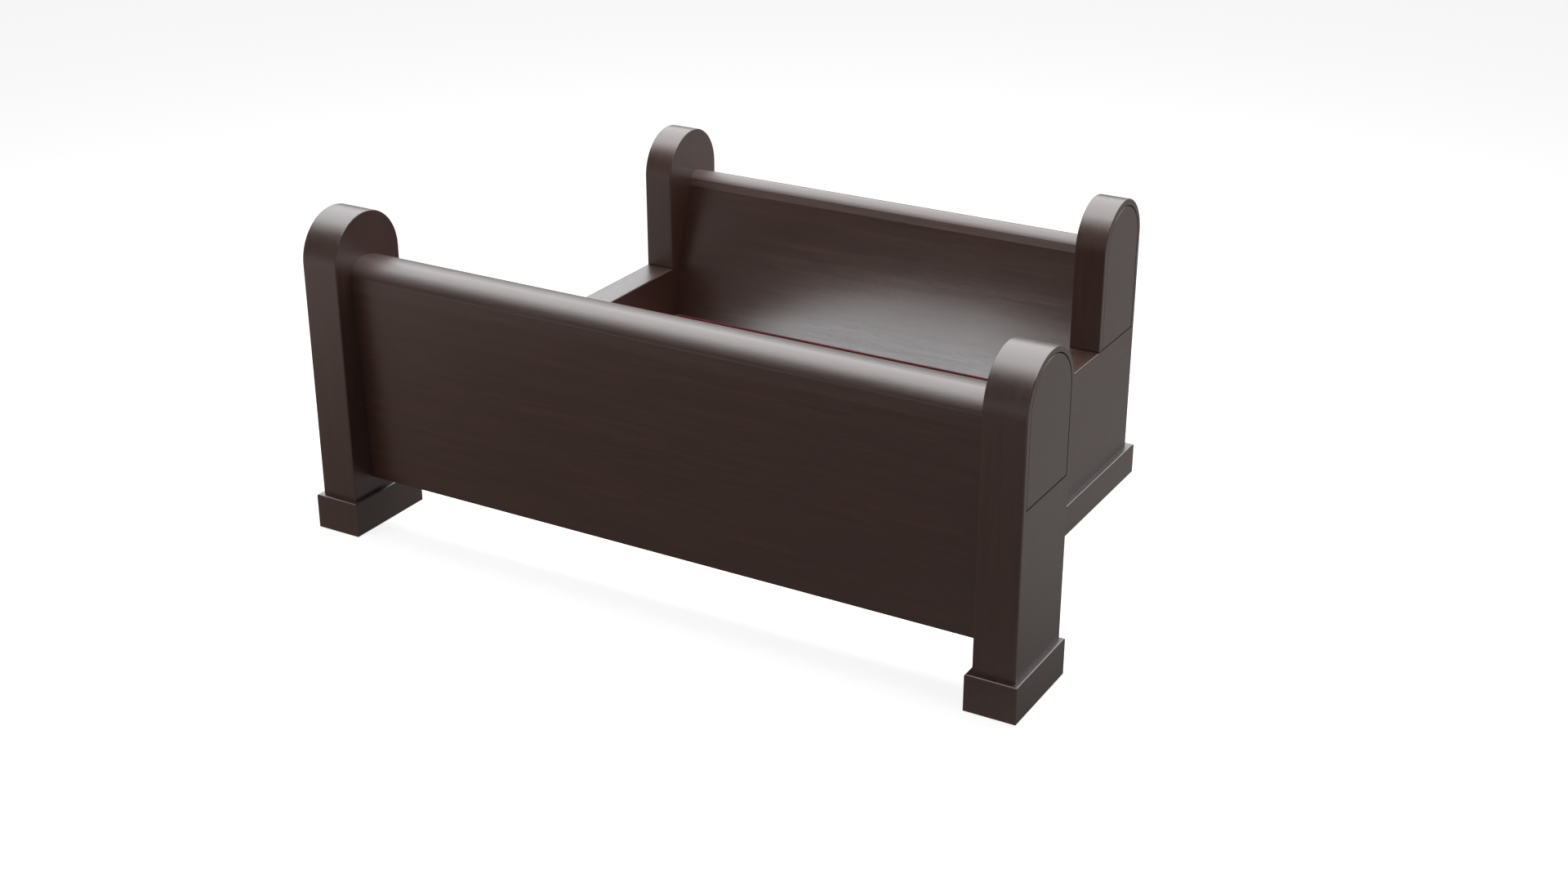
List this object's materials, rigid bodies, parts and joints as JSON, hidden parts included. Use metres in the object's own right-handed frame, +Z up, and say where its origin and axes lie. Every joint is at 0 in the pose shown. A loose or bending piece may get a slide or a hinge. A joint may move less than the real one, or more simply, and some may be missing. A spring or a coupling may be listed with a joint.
{
  "type": "church pew",
  "caption": "Upholstered pew with round-topped ends and raked back, with its free-standing front screen: round-topped posts on foot blocks and a deep panel under a rolled cap.",
  "frame": {"origin": "on the floor under the middle of the whole set, pew and front screen together", "axes": "+X along the pew's length, +Y from the front screen back to the pew's back, +Z up"},
  "size_m": [2.428, 1.691, 1.028],
  "materials": {
    "upright_wood": "dark mahogany stain, satin-gloss varnish, grain running up",
    "end_wood": "dark mahogany stain, satin-gloss varnish, grain running front to back",
    "rail_wood": "dark mahogany stain, satin-gloss varnish, grain running along the length",
    "plain_timber": "unvarnished inner timber",
    "zinc_steel": "zinc plated",
    "burgundy_fabric": "woven burgundy upholstery over foam"
  },
  "bodies": {
    "root": {"back_cleat_left": "plain_timber", "back_cleat_right": "plain_timber", "cleat_screws": "zinc_steel", "front_arch_plate_left": "upright_wood", "front_arch_plate_right": "upright_wood", "front_barrel_nuts": "zinc_steel", "front_bolt_washers": "zinc_steel", "front_bottom_rail": "rail_wood", "front_cap_rail": "rail_wood", "front_foot_left": "end_wood", "front_foot_right": "end_wood", "front_foot_screws": "zinc_steel", "front_panel_back_skin": "rail_wood", "front_panel_bolts": "zinc_steel", "front_panel_dowels": "plain_timber", "front_panel_end_stiles": "plain_timber", "front_panel_front_skin": "rail_wood", "front_panel_studs": "plain_timber", "front_post_left": "upright_wood", "front_post_right": "upright_wood", "pew_arch_plate_left": "upright_wood", "pew_arch_plate_right": "upright_wood", "pew_back_panel": "rail_wood", "pew_back_post_left": "upright_wood", "pew_back_post_right": "upright_wood", "pew_cap_rail": "rail_wood", "pew_end_left": "end_wood", "pew_end_right": "end_wood", "pew_foot_left": "end_wood", "pew_foot_right": "end_wood", "pew_foot_screws": "zinc_steel", "pew_post_dowels": "plain_timber", "pew_tie_rod_nuts": "zinc_steel", "pew_tie_rod_washers": "zinc_steel", "pew_tie_rods": "zinc_steel", "seat_apron": "rail_wood", "seat_back_rail": "rail_wood", "seat_bearer": "plain_timber", "seat_board": "plain_timber", "seat_cleat_left": "plain_timber", "seat_cleat_right": "plain_timber", "seat_pad": "burgundy_fabric", "seat_rail_dowels": "plain_timber"}
  },
  "joints": []
}
